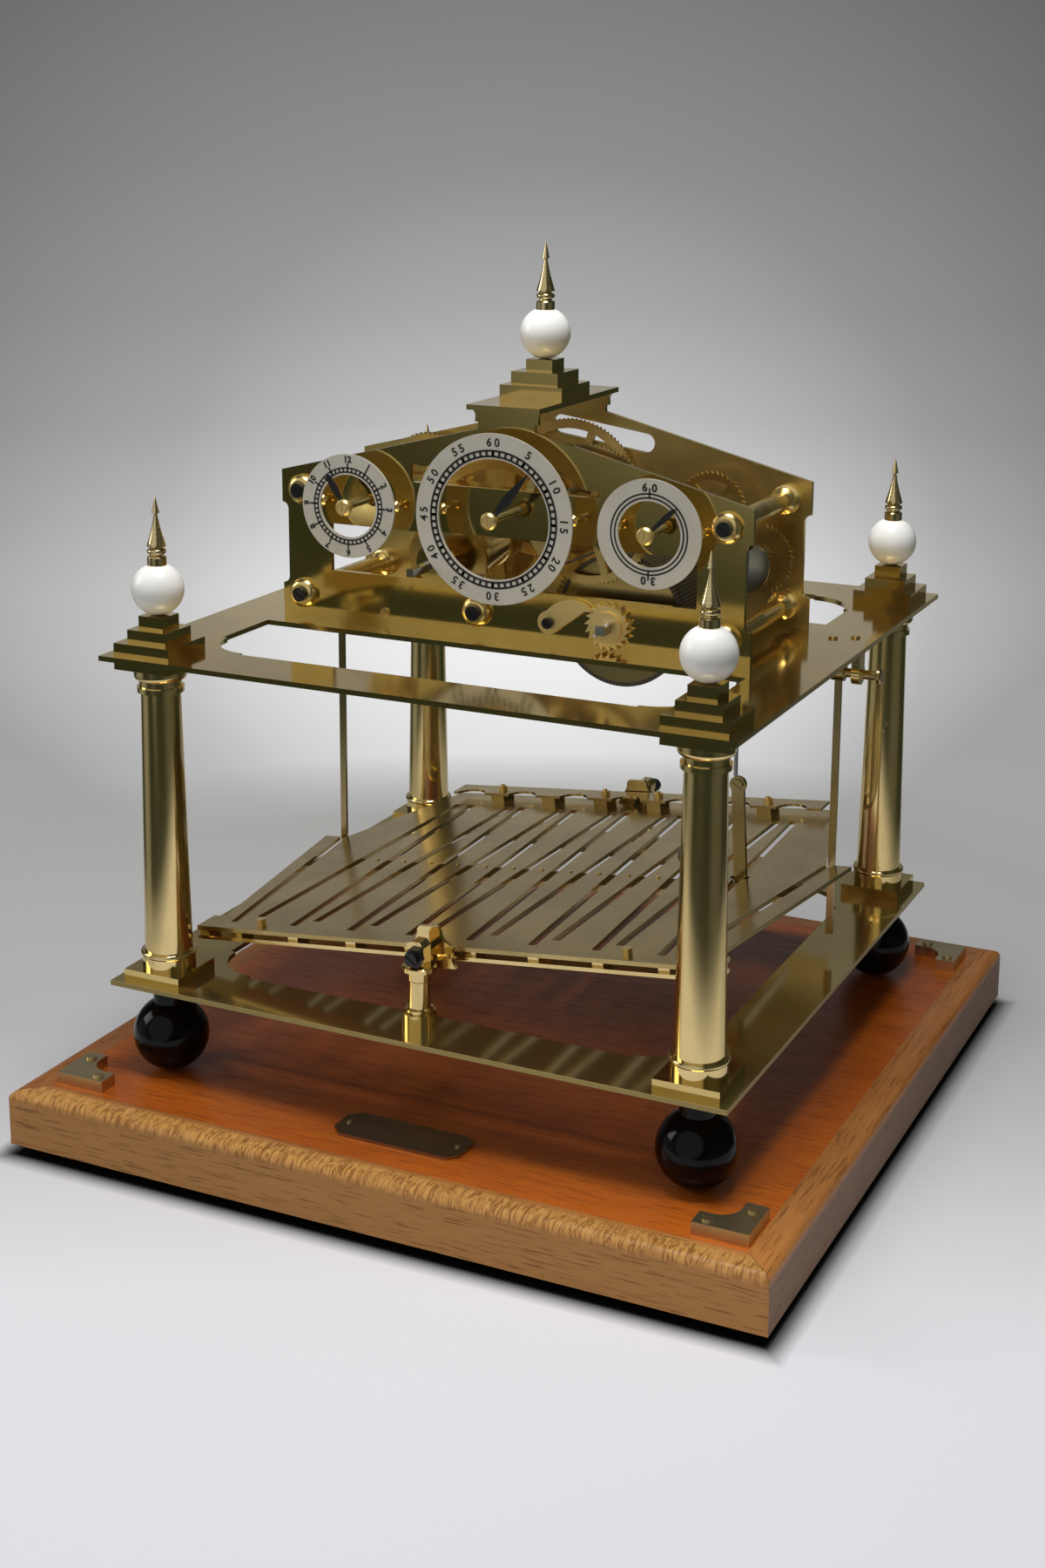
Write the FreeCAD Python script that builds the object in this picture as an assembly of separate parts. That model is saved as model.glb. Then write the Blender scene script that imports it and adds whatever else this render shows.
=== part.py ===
import FreeCAD, Part
import math
import os

V = FreeCAD.Vector
os.makedirs("parts", exist_ok=True)

# Rolling ball clock, millimetres. X runs right along the dials, Y to the back, Z up.
# Sizes are laid out from the middle of the brass plates; each piece is saved from the middle
# of the wood base's underside, which is the origin.

# wood base
base_w, base_d, base_h = 370.0, 377.4, 26.2
base_cx, base_cy = 0.2, 2.4
border_w, panel_t, base_round = 14.0, 6.0, 4.0

# ball feet and the two large brass plates
foot_r, foot_neck_r = 17.8, 8.0
plate_w, plate_d, plate_t = 305.0, 298.0, 2.35
lower_top, upper_top = 73.0, 228.8
window_x, window_y = 122.0, 118.6
corner_step, corner_r = 2.4, 22.4
rail_y0, rail_y1 = -54.6, 58.0
column_x, column_y = 132.6, 129.7

# stepped blocks, balls and spires
finial_r, finial_sink, spire_h = 12.05, 0.10, 31.2
corner_blocks = [(29.5, 5.5), (20.5, 5.7), (13.0, 6.0)]
roof_blocks = [(32.0, 6.0), (24.0, 6.0), (13.5, 5.5)]

# movement plates
move_cx, move_t, front_y, back_y = -3.0, 2.5, -37.0, 46.0
gap_y0, gap_y1 = front_y + move_t, back_y - move_t
shoulder_w, waist_w, neck_w = 120.4, 117.1, 14.4
waist_z0, waist_z1, ear_z, neck_z, roof_z = 246.0, 282.0, 299.8, 326.5, 335.6
roof_t = 2.4
pillar_x, pillar_z = 108.5, (240.0, 291.0)
stud_x, stud_z = -17.5, 240.5

# arbors along Y, as (x, z)
minute_at, hour_at, seconds_at = (-4.6, 286.7), (-80.8, 286.7), (72.3, 286.7)
idler_at, fusee_at, barrel_at, crank_at = (34.5, 289.4), (-40.0, 261.0), (49.7, 240.6), (96.5, 264.0)
arbor_r, run_fit = 1.6, 0.05

# dials
ring_y, ring_t = -47.5, 1.2
dials = {
    "hour": (hour_at, 24.8, 15.0, 20.0),
    "minute": (minute_at, 39.8, 28.1, 33.5),
    "seconds": (seconds_at, 24.9, 15.0, 20.0),
}
hand_y, hand_t, collet_y, collet_cap = -50.8, 0.8, -53.2, 0.6
bridge_y0, bridge_y1 = gap_y0 + 2.3, gap_y0 + 4.3

# barrel, fusee and ratchet
barrel_r, coil_r, barrel_y0, barrel_y1 = 29.6, 31.0, -24.5, 24.0
fusee_r0, fusee_r1, fusee_y0, fusee_y1, fusee_turns = 19.0, 11.0, -24.0, 22.0, 11
ratchet_teeth, ratchet_r, ratchet_root, nose_deg = 18, 11.4, 9.0, 138.0
click_at = (20.4, 239.6)

# tray, in its own axes: u right, v back, w up from the pivot line, then tilted
pivot_z, tilt_slope = 106.0, 0.10
tray_deg = math.degrees(math.atan(tilt_slope))
sheet_top, sheet_t, slot_w = -1.7, 2.0, 4.2
tray_front, tray_back = -112.5, 120.0
bend_u, leg_u = 31.0, 4.0
rail_gap, rail_t, guard_lift, guard_t = 2.6, 1.8, 3.6, 1.3
tray_cx, ear_u, mouth_u, mouth_v = 2.4, 145.5, 134.8, 31.0
ball_r, ball_v = 4.75, 20.0
pivot_r = 1.5
post_front_y, post_back_y = -129.0, 134.0

# trip arbor and link
trip_y, trip_z, trip_r, trip_x, trip_tip = 33.2, 213.0, 2.2, 134.5, 82.6
link_u, link_w, link_y = 101.0, -7.6, 5.0
strap_top, strap_x, rod_x, crank_pin_r = 160.2, 98.4, 97.2, 9.9


def box(x0, x1, y0, y1, z0, z1):
    return Part.makeBox(x1 - x0, y1 - y0, z1 - z0, V(x0, y0, z0))


def post(x, y, r, z0, z1):
    return Part.makeCylinder(r, z1 - z0, V(x, y, z0))


def bar_y(at, r, y0, y1):
    return Part.makeCylinder(r, y1 - y0, V(at[0], y0, at[1]), V(0, 1, 0))


def bar_x(y, z, r, x0, x1):
    return Part.makeCylinder(r, x1 - x0, V(x0, y, z), V(1, 0, 0))


def square_y(at, side, y0, y1):
    h = side / 2
    return box(at[0] - h, at[0] + h, y0, y1, at[1] - h, at[1] + h)


def solid_of(shape):
    if shape.Volume < 0:
        shape.reverse()
    return shape


def turned(profile, foot, axis=V(0, 0, 1)):
    # profile of (radius, height); four numbers make an arc through the last two
    last = V(0, 0, profile[0][1])
    low = last
    edges = []
    for step in profile + [(0.0, profile[-1][1])]:
        end = V(step[0], 0, step[1])
        if len(step) == 4:
            edges.append(Part.Arc(last, V(step[2], 0, step[3]), end).toShape())
        elif end.distanceToPoint(last) > 1e-6:
            edges.append(Part.makeLine(last, end))
        last = end
    edges.append(Part.makeLine(last, low))
    solid = Part.Face(Part.Wire(edges)).revolve(V(0, 0, 0), V(0, 0, 1), 360)
    solid.Placement = FreeCAD.Placement(foot, FreeCAD.Rotation(V(0, 0, 1), axis))
    return solid_of(solid)


def slab(points, place, along):
    # closed outline of (a, b); four numbers make an arc through the last two
    edges = []
    last = points[0]
    for step in points[1:] + points[:1]:
        start, end = place(last[0], last[1]), place(step[0], step[1])
        if len(step) == 4:
            edges.append(Part.Arc(start, place(step[2], step[3]), end).toShape())
        elif end.distanceToPoint(start) > 1e-6:
            edges.append(Part.makeLine(start, end))
        last = step
    return solid_of(Part.Face(Part.Wire(edges)).extrude(along))


def slab_z(points, z0, z1):
    return slab(points, lambda a, b: V(a, b, z0), V(0, 0, z1 - z0))


def slab_y(points, y0, y1):
    return slab(points, lambda a, b: V(a, y0, b), V(0, y1 - y0, 0))


def flipped(shape, x=0.0):
    return shape.mirror(V(x, 0, 0), V(1, 0, 0))


def joined(shapes):
    return shapes[0].multiFuse(shapes[1:]).removeSplitter()


def save(name, shapes):
    if not isinstance(shapes, list):
        shapes = [shapes]
    shape = shapes[0] if len(shapes) == 1 else Part.makeCompound(shapes)
    shape.translate(V(-base_cx, -base_cy, 0))
    shape.exportStep("parts/" + name + ".step")


def polar(at, r, deg):
    a = math.radians(deg)
    return (at[0] + r * math.cos(a), at[1] + r * math.sin(a))


def bearing(a, b):
    return math.degrees(math.atan2(b[1] - a[1], b[0] - a[0]))


def gap_of(a, b):
    return math.hypot(b[0] - a[0], b[1] - a[1])


def slotted(at, r, y_face, length, slot=0.8):
    # screw head facing the front, with a straight slot
    head = bar_y(at, r, y_face, y_face + length)
    cut = box(at[0] - r, at[0] + r, y_face - 1, y_face + 0.5, at[1] - slot / 2, at[1] + slot / 2)
    cut.rotate(V(at[0], y_face, at[1]), V(0, 1, 0), 35)
    return head.cut(cut)


# ---- wood base, feet, brackets and plaque

def make_base():
    x0, x1 = base_cx - base_w / 2, base_cx + base_w / 2
    y0, y1 = base_cy - base_d / 2, base_cy + base_d / 2
    frame = box(x0, x1, y0, y1, 0, base_h)
    rim = [e for e in frame.Edges if e.BoundBox.ZMin > base_h - 0.01]
    frame = frame.makeFillet(base_round, rim)
    b = border_w
    frame = frame.cut(box(x0 + b, x1 - b, y0 + b, y1 - b, base_h - panel_t, base_h + 1))
    save("base_frame", frame)
    g = 0.05
    save("base_panel", box(x0 + b + g, x1 - b - g, y0 + b + g, y1 - b - g, base_h - panel_t, base_h))


def make_brackets():
    brackets, screws = [], []
    leg, wide, tall, screw_r = 25.0, 10.0, 5.5, 2.6
    out_x, out_y = base_w / 2 - border_w - 0.9, base_d / 2 - border_w - 3.5
    for sx in (-1, 1):
        for sy in (-1, 1):
            ox, oy = base_cx + sx * out_x, base_cy + sy * out_y
            pts = [(0, 0), (leg, 0), (leg, wide), (wide + 9.5, wide),
                   (wide, wide + 9.5, wide + 2.8, wide + 2.8), (wide, leg), (0, leg)]
            pts = [tuple(ox - sx * p if i % 2 == 0 else oy - sy * p for i, p in enumerate(q)) for q in pts]
            brackets.append(slab_z(pts, base_h, base_h + tall))
            for a, b in ((leg - 5.5, wide / 2), (wide / 2, leg - 5.5)):
                x, y = ox - sx * a, oy - sy * b
                top = base_h + tall
                head = post(x, y, screw_r, top, top + 0.9)
                slot = box(x - 3, x + 3, y - 0.35, y + 0.35, top + 0.45, top + 1)
                screws.append(head.cut(slot))
    save("cover_brackets", brackets)
    px, py = base_cx + 0.6, base_cy - base_d / 2 + 40.0
    pw, pd, pt, clip = 63.3, 22.0, 1.6, 5.0
    w, d = pw / 2, pd / 2
    pts = [(-w + clip, -d), (w - clip, -d), (w, -d + clip), (w, d - clip),
           (w - clip, d), (-w + clip, d), (-w, d - clip), (-w, -d + clip)]
    save("name_plate", slab_z([(px + a, py + b) for a, b in pts], base_h, base_h + pt))
    for s in (-1, 1):
        screws.append(post(px + s * (w - 4.5), py, 1.1, base_h + pt, base_h + pt + 0.6))
    save("base_screws", screws)


def corners():
    return [(sx * column_x, sy * column_y) for sx in (-1, 1) for sy in (-1, 1)]


def make_feet():
    neck_top = lower_top - plate_t
    rise = math.sqrt(foot_r ** 2 - foot_neck_r ** 2)
    feet = []
    for x, y in corners():
        flat = 2.0
        low = foot_r - math.sqrt(foot_r ** 2 - flat ** 2)
        profile = [(flat, low), (foot_r, foot_r, foot_r * 0.72, foot_r * 0.306),
                   (foot_neck_r, foot_r + rise, foot_r * 0.85, foot_r * 1.527),
                   (foot_neck_r, neck_top - base_h + low)]
        feet.append(turned(profile, V(x, y, base_h - low)))
    save("foot_balls", feet)


# ---- large plates and columns

def window(y0, y1, stepped):
    # opening of a plate; the stepped sides (-1 front, 1 back) keep quarter-round corners
    high = upper_top + 1
    hole = box(-window_x, window_x, y0, y1, 0, high)
    reach = corner_step + corner_r
    for sy in stepped:
        edge = y0 if sy < 0 else y1
        for sx in (-1, 1):
            cx, cy = sx * (window_x - reach), edge - sy * reach
            block = box(min(cx, sx * window_x), max(cx, sx * window_x),
                        min(cy, edge), max(cy, edge), 0, high)
            hole = hole.cut(block.cut(post(cx, cy, corner_r, 0, high)))
    return hole


def make_plates():
    half_w, half_d = plate_w / 2, plate_d / 2
    lower = box(-half_w, half_w, -half_d, half_d, lower_top - plate_t, lower_top)
    save("lower_plate", lower.cut(window(-window_y, window_y, (-1, 1))))
    upper = box(-half_w, half_w, -half_d, half_d, upper_top - plate_t, upper_top)
    upper = upper.cut(window(-window_y, rail_y0, (-1,)))
    upper = upper.cut(window(rail_y1, window_y, (1,)))
    z0, z1 = upper_top - plate_t - 1, upper_top + 1
    upper = upper.cut(box(-70, 84, -28, 34, z0, z1))
    upper = upper.cut(box(rod_x - 4.5, rod_x + 5.5, link_y - 4.5, link_y + 4.5, z0, z1))
    save("upper_plate", upper)


def make_columns():
    plinth, abacus, plinth_h, abacus_h = 30.0, 29.5, 5.0, 4.4
    under = upper_top - plate_t
    blocks, shafts = [], []
    for x, y in corners():
        p, a = plinth / 2, abacus / 2
        blocks.append(box(x - p, x + p, y - p, y + p, lower_top, lower_top + plinth_h))
        blocks.append(box(x - a, x + a, y - a, y + a, under - abacus_h, under))
        tall = under - abacus_h - lower_top - plinth_h
        profile = [(12.5, 0), (12.5, 5.6), (12.5, 8.0, 13.1, 6.8), (11.2, 8.0),
                   (9.2, tall - 11.5), (10.85, tall - 11.5), (10.85, tall - 9.0), (9.8, tall - 9.0),
                   (9.8, tall - 6.0), (12.2, tall - 3.2, 11.5, tall - 5.2), (12.2, tall)]
        shafts.append(turned(profile, V(x, y, lower_top + plinth_h)))
    save("column_blocks", blocks)
    save("column_shafts", shafts)


def stack(x, y, z, steps):
    blocks = []
    for side, tall in steps:
        h = side / 2
        blocks.append(box(x - h, x + h, y - h, y + h, z, z + tall))
        z = z + tall
    return joined(blocks), z


def finial(x, y, z):
    centre = finial_r - finial_sink
    ball = Part.makeSphere(finial_r, V(x, y, z + centre))
    flat = centre + math.sqrt(finial_r ** 2 - 5.1 ** 2)
    ball = ball.common(box(x - 20, x + 20, y - 20, y + 20, z, z + flat))
    profile = [(4.6, 0), (4.6, 3.4), (3.6, 4.2), (3.6, 5.2), (4.4, 5.6), (4.4, 7.6), (3.6, 8.0),
               (3.6, 8.8), (4.5, 8.8), (2.3, 15.8, 2.9, 12.0), (0.9, 23.0, 1.3, 19.0), (1.8, 23.9),
               (0.15, spire_h)]
    return ball, turned(profile, V(x, y, z + flat))


def make_finials():
    blocks, balls, spires = [], [], []
    for x, y in corners():
        block, top = stack(x, y, upper_top, corner_blocks)
        ball, spire = finial(x, y, top)
        blocks.append(block)
        balls.append(ball)
        spires.append(spire)
    mid_y = (front_y + back_y) / 2
    block, top = stack(move_cx, mid_y, roof_z + roof_t, roof_blocks)
    ball, spire = finial(move_cx, mid_y, top)
    save("stepped_blocks", blocks + [block])
    save("finial_balls", balls + [ball])
    save("finial_spires", spires + [spire])


# ---- movement frame: the gable-shaped plates that carry the going train

def gable(y0, y1):
    x, z0 = move_cx, upper_top
    flare = 18.0
    pts = [(x, z0), (x + shoulder_w, z0), (x + shoulder_w, waist_z0 - 2),
           (x + waist_w, waist_z0 + 1.3, x + waist_w + 1, waist_z0 - 1),
           (x + waist_w, waist_z1 - 1.3), (x + shoulder_w, waist_z1 + 2, x + waist_w + 1, waist_z1 + 1),
           (x + shoulder_w, ear_z), (x + neck_w, neck_z), (x + neck_w, neck_z + 3.2),
           (x + neck_w + 1.6, neck_z + 3.2), (x + neck_w + 1.6, neck_z + 5.0),
           (x + flare, roof_z, x + neck_w + 2.0, roof_z - 1.4), (x, roof_z)]
    right = slab_y(pts, y0, y1)
    return joined([right, flipped(right, x)])


def bearing_holes(spots, r=arbor_r + run_fit):
    return [bar_y(at, r, front_y - 20, back_y + 20) for at in spots]


def front_windows():
    low = slab_y([(-96.3, 252.5), (91.5, 252.5), (91.5, 275.5), (43.2, 275.5), (43.2, 298.8),
                  (44.5, 299.0), (44.5, 302.0), (37.0, 302.0), (33.0, 304.0, 34.6, 302.6), (24.5, 310.0),
                  (-42.0, 308.0, -10.0, 317.0), (-49.5, 307.6, -45.8, 307.0),
                  (-53.0, 304.5, -52.2, 306.8), (-53.0, 300.5), (-51.0, 299.0, -52.4, 299.4),
                  (-48.0, 298.8), (-48.0, 275.5), (-96.3, 275.5)], front_y - 1, gap_y0 + 1)
    island = bar_y(fusee_at, 10.0, front_y - 2, gap_y0 + 2)
    x = fusee_at[0]
    neck = box(x - 6.5, x + 6.5, front_y - 2, gap_y0 + 2, 245, fusee_at[1])
    return low.cut(island.fuse(neck))


def make_movement_plates():
    front = gable(front_y, gap_y0).cut(front_windows())
    holes = bearing_holes([hour_at, seconds_at, barrel_at]) + bearing_holes([fusee_at], 2.6 + run_fit)
    for hole in holes:
        front = front.cut(hole)
    save("movement_front_plate", front)
    back = gable(gap_y1, back_y)
    a, b, r = (-12.0, 319.0), (33.0, 312.5), 4.6
    ends = bar_y(a, r, gap_y1 - 1, back_y + 1).fuse(bar_y(b, r, gap_y1 - 1, back_y + 1))
    beam = box(a[0], a[0] + gap_of(a, b), gap_y1 - 1, back_y + 1, a[1] - r, a[1] + r)
    beam.rotate(V(a[0], 0, a[1]), V(0, 1, 0), -bearing(a, b))
    back = back.cut(ends.fuse(beam))
    for hole in bearing_holes([minute_at, hour_at, seconds_at, idler_at, fusee_at, barrel_at, crank_at]):
        back = back.cut(hole)
    save("movement_back_plate", back)


def pillar(at):
    long = gap_y1 - gap_y0
    half = [(7.0, 0), (7.0, 2.4), (5.4, 3.2), (5.4, 4.4), (6.3, 5.2), (6.3, 7.0), (4.6, 8.4)]
    ends = [(r, long - h) for r, h in reversed(half)]
    return turned(half + [(5.0, long / 2)] + ends, V(at[0], gap_y0, at[1]), V(0, 1, 0))


def make_movement_trim():
    spots = [(move_cx + s * pillar_x, z) for s in (-1, 1) for z in pillar_z]
    stud = turned([(7.0, 0), (7.0, 2.4), (5.0, 3.4), (5.0, 8.0)], V(stud_x, gap_y0, stud_z), V(0, 1, 0))
    save("movement_pillars", [pillar(at) for at in spots] + [stud])
    washers, screws = [], []
    for at in spots + [(stud_x, stud_z)]:
        profile = [(7.25, 0), (7.25, 1.0), (4.6, 4.4, 6.5, 3.2), (0.01, 4.4)]
        washers.append(turned(profile, V(at[0], front_y, at[1]), V(0, -1, 0)))
        screws.append(slotted(at, 3.5, front_y - 6.4, 2.0))
    screws.append(slotted(click_at, 2.6, front_y - 5.3, 1.9))
    screws.append(slotted((-67.0, 234.5), 2.4, front_y - 0.9, 0.9))
    save("pillar_washers", washers)
    save("movement_screws", screws)
    x, mid = move_cx, (front_y + back_y) / 2
    save("roof_cap", box(x - 18.5, x + 18.5, front_y - 4, back_y + 4, roof_z, roof_z + roof_t))
    bridge = box(-56, 49, bridge_y0, bridge_y1, 275.5, 298)
    for x in (-52, 46):
        bridge = bridge.fuse(bar_y((x, 287), 2.4, gap_y0, bridge_y0))
    for hole in bearing_holes([minute_at, idler_at]):
        bridge = bridge.cut(hole)
    save("bridge_bar", bridge.removeSplitter())


# ---- dials and hands

def make_dials():
    posts = []
    for name, (at, outer, inner, mean) in dials.items():
        ring = bar_y(at, outer, ring_y, ring_y + ring_t).cut(bar_y(at, inner, ring_y - 1, 0))
        save(name + "_ring", ring)
        seat = bridge_y0 if name == "minute" else front_y
        for s in (-1, 1):
            foot = V(at[0] + s * mean, seat, at[1])
            long = seat - ring_y - ring_t
            posts.append(turned([(2.6, 0), (2.6, 1.0), (1.5, 2.2), (1.5, long - 1.6), (2.2, long - 1.0),
                                 (2.2, long)], foot, V(0, -1, 0)))
    save("dial_posts", posts)


def hand(at, half_widths, bore):
    # half_widths of (distance from the arbor, half width), from the arbor to the tip
    left = [(-w, h) for h, w in reversed(half_widths)]
    right = [(w, h) for h, w in half_widths]
    pts = [(at[0] + a, at[1] + b) for a, b in right + left[1:]]
    blade = slab_y(pts, hand_y, hand_y + hand_t)
    hub = bar_y(at, 3.6, hand_y, hand_y + hand_t)
    return blade.fuse(hub).cut(bar_y(at, bore, hand_y - 1, hand_y + 2)).removeSplitter()


def turned_hand(shape, at, deg):
    shape.rotate(V(at[0], 0, at[1]), V(0, 1, 0), deg)
    return shape


def collet(at, r):
    # slotted button inside a rounded rim, closed in front of the arbor's end
    deep = hand_y - collet_y
    profile = [(r, 0), (r, deep - 0.9), (r - 0.9, deep), (2.6, deep), (2.6, deep - 0.4), (2.2, deep - 0.4),
               (2.2, deep)]
    body = turned(profile, V(at[0], hand_y, at[1]), V(0, -1, 0))
    body = body.cut(bar_y(at, arbor_r, collet_y + collet_cap, 0))
    slot = box(at[0] - 0.3, at[0] + 0.3, collet_y - 1, collet_y + 0.4, at[1] - 2.2, at[1] + 2.2)
    pipe = bar_y(at, 2.4, hand_y + hand_t, hand_y + hand_t + 3.0)
    return [body.cut(slot), pipe.cut(bar_y(at, arbor_r, hand_y, 0))]


def make_hands():
    leaf = [(0, 0.9), (5.6, 0.9), (9.5, 1.7), (11.5, 1.7), (14.2, 1.2), (15.7, 1.8), (18.0, 0.2)]
    long_leaf = [(0, 1.2), (5.5, 1.2), (12.0, 2.3), (17.5, 1.9), (26.5, 0.7), (30.0, 0.2)]
    sweep = [(0, 0.9), (5.0, 0.9), (12.0, 1.3), (17.5, 1.0), (19.0, 0.4)]
    bore = arbor_r
    save("hour_hand", turned_hand(hand(hour_at, leaf, bore), hour_at, -33.0))
    save("minute_hand", turned_hand(hand(minute_at, long_leaf, bore), minute_at, 39.6))
    save("seconds_hand", turned_hand(hand(seconds_at, sweep, bore), seconds_at, 46.0))
    save("hour_collet", collet(hour_at, 4.0))
    save("minute_collet", collet(minute_at, 4.0))
    save("seconds_collet", collet(seconds_at, 4.0))


# ---- going train: toothed wheels cut to mesh at their centres, with backlash in every pair

def pitch_pair(a, b, teeth_a, teeth_b):
    d = gap_of(a, b)
    module = 2 * d / (teeth_a + teeth_b)
    return module, module * teeth_a / 2, module * teeth_b / 2


def toothed(at, teeth, pitch_r, module, face_deg, y0, y1, add=0.6):
    # a tooth points along face_deg; tips are flat, roots are V-shaped
    tip, root, step = pitch_r + add * module, pitch_r - 1.0 * module, 360.0 / teeth
    pts = []
    for i in range(teeth):
        a = face_deg + i * step
        pts += [polar(at, tip, a - 0.04 * step), polar(at, tip, a + 0.04 * step)]
        pts.append(polar(at, root, a + 0.5 * step))
    return slab_y(pts, y0, y1)


def crossed(wheel, at, hub, rim, spokes, width, y0, y1, turn=0.0):
    # cuts the wheel through between hub and rim, leaving straight crossings
    gap = bar_y(at, rim, y0 - 1, y1 + 1).cut(bar_y(at, hub, y0 - 1, y1 + 1))
    for i in range(spokes):
        arm = box(at[0], at[0] + rim + 1, y0 - 1, y1 + 1, at[1] - width / 2, at[1] + width / 2)
        arm.rotate(V(at[0], 0, at[1]), V(0, 1, 0), turn + i * 360.0 / spokes)
        gap = gap.cut(arm)
    return wheel.cut(gap)


def mesh(a, b, teeth_a, teeth_b, ya, yb, add_a=0.6, add_b=0.6):
    # returns the two wheels of a pair, a tooth of the first standing in a gap of the second
    module, ra, rb = pitch_pair(a, b, teeth_a, teeth_b)
    face = bearing(a, b)
    first = toothed(a, teeth_a, ra, module, face, ya[0], ya[1], add_a)
    second = toothed(b, teeth_b, rb, module, face + 180 + 180.0 / teeth_b, yb[0], yb[1], add_b)
    return first, second


def bored(shape, at, r=arbor_r):
    return shape.cut(bar_y(at, r, front_y - 30, back_y + 30))


def arbor(at, y0, y1):
    return bar_y(at, arbor_r, y0, y1)


def make_train():
    back_end = back_y - 0.3
    y_great, y_idler, y_minute = (28.0, 30.5), (-29.0, -27.4), (39.5, 41.0)
    y_motion, y_cross = (34.5, 36.2), (29.5, 31.3)
    great, minute_pinion = mesh(fusee_at, minute_at, 96, 8, y_great, (27.2, 31.3), 0.4, 0.35)
    motion, hour_wheel = mesh(fusee_at, hour_at, 60, 60, y_motion, y_motion)
    minute_wheel, idler_pinion = mesh(minute_at, idler_at, 100, 10, y_minute, (38.6, 41.9), 0.4, 0.35)
    idler_wheel, seconds_pinion = mesh(idler_at, seconds_at, 90, 15, y_idler, (-29.8, -26.4), 0.4, 0.4)
    seconds_wheel, crank_wheel = mesh(seconds_at, crank_at, 40, 40, y_cross, y_cross)

    save("minute_arbor", joined([arbor(minute_at, collet_y + collet_cap, back_end), minute_pinion]))
    save("minute_wheel", bored(crossed(minute_wheel, minute_at, 6, 31, 4, 4, *y_minute, 20), minute_at))
    save("hour_arbor", arbor(hour_at, collet_y + collet_cap, back_end))
    save("hour_wheel", bored(crossed(hour_wheel, hour_at, 5, 20, 4, 3.5, *y_motion), hour_at))
    save("idler_arbor", joined([arbor(idler_at, front_y + 3.8, back_end), idler_pinion]))
    save("idler_wheel", bored(crossed(idler_wheel, idler_at, 5, 28.5, 5, 3.5, *y_idler), idler_at))
    save("seconds_arbor", joined([arbor(seconds_at, collet_y + collet_cap, back_end), seconds_pinion]))
    wheel = crossed(seconds_wheel, seconds_at, 4.5, 13, 4, 3.2, *y_cross, 45)
    save("seconds_wheel", bored(wheel, seconds_at))
    save("crank_wheel", bored(crossed(crank_wheel, crank_at, 4.5, 8.0, 4, 3.0, *y_cross), crank_at))
    great = bored(crossed(great, fusee_at, 12, 35.5, 5, 5, *y_great, 10), fusee_at)
    motion = bored(crossed(motion, fusee_at, 6, 20, 4, 3.5, *y_motion), fusee_at)
    save("fusee_wheels", [great, motion])

    # overhung crank: disc and pin ahead of the wheel, the pin short of the rod's eye
    disc = bar_y(crank_at, 12.6, 8.6, 10.6)
    boss = bar_y(crank_at, 3.2, 10.6, 14.0)
    pin = bar_y((crank_at[0], crank_at[1] + crank_pin_r), 1.2, 6.6, 8.6)
    save("crank_arbor", joined([disc, boss, pin, arbor(crank_at, 14.0, back_end)]))


def make_power():
    # fusee: a grooved cone, large at the front, on its own winding arbor
    pts = [(fusee_r0 + 1.6, 0.0), (fusee_r0 + 1.6, 1.6)]
    pitch = (fusee_y1 - fusee_y0 - 3.2) / fusee_turns
    for i in range(fusee_turns):
        y = 1.6 + i * pitch
        t = (i + 0.5) / fusee_turns
        r = fusee_r0 + (fusee_r1 - fusee_r0) * (0.65 * t + 0.35 * math.sqrt(t))
        pts += [(r, y + 0.25), (r - 1.3, y + pitch / 2), (r, y + pitch - 0.25)]
    pts += [(fusee_r1 + 1.0, fusee_y1 - fusee_y0 - 1.6), (fusee_r1 + 1.0, fusee_y1 - fusee_y0)]
    cone = turned(pts, V(fusee_at[0], fusee_y0, fusee_at[1]), V(0, 1, 0))
    shaft = joined([cone, arbor(fusee_at, fusee_y1, back_y - 0.3), bar_y(fusee_at, 2.6, -45.0, fusee_y0),
                    square_y(fusee_at, 3.6, -62.0, -45.0)])
    save("fusee", shaft)

    # barrel: a hollow drum with the chain wound on it, free on its arbor
    long = barrel_y1 - barrel_y0
    pts = [(coil_r + 0.4, 0), (coil_r + 0.4, 2.0)]
    pitch = 3.7
    coil_count = int((long - 4.6) / pitch)
    for i in range(coil_count):
        y = 2.6 + i * pitch
        pts += [(barrel_r, y), (coil_r, y + 0.5), (coil_r, y + pitch - 0.9), (barrel_r, y + pitch - 0.4)]
    pts += [(barrel_r, long - 2.0), (coil_r + 0.4, long - 2.0), (coil_r + 0.4, long)]
    drum = turned(pts, V(barrel_at[0], barrel_y0, barrel_at[1]), V(0, 1, 0))
    drum = drum.cut(bar_y(barrel_at, barrel_r - 2.2, barrel_y0 + 2.2, barrel_y1 - 2.2))
    save("barrel", drum.cut(bar_y(barrel_at, 2.6 + run_fit, barrel_y0 - 1, barrel_y1 + 1)))

    hub = bar_y(barrel_at, 2.6, barrel_y0 - 1.5, barrel_y1 + 1.5)
    neck = bar_y(barrel_at, arbor_r, front_y - 5.0, back_y - 0.3)
    square = square_y(barrel_at, 4.5, front_y - 11.5, front_y - 5.0)
    cross = bar_x(front_y - 9.4, 0, 0.8, -5.0, 5.0)
    cross.rotate(V(0, 0, 0), V(0, 1, 0), -45)
    cross.translate(V(barrel_at[0], 0, barrel_at[1]))
    save("barrel_arbor", joined([hub, neck, square, cross]))


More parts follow.
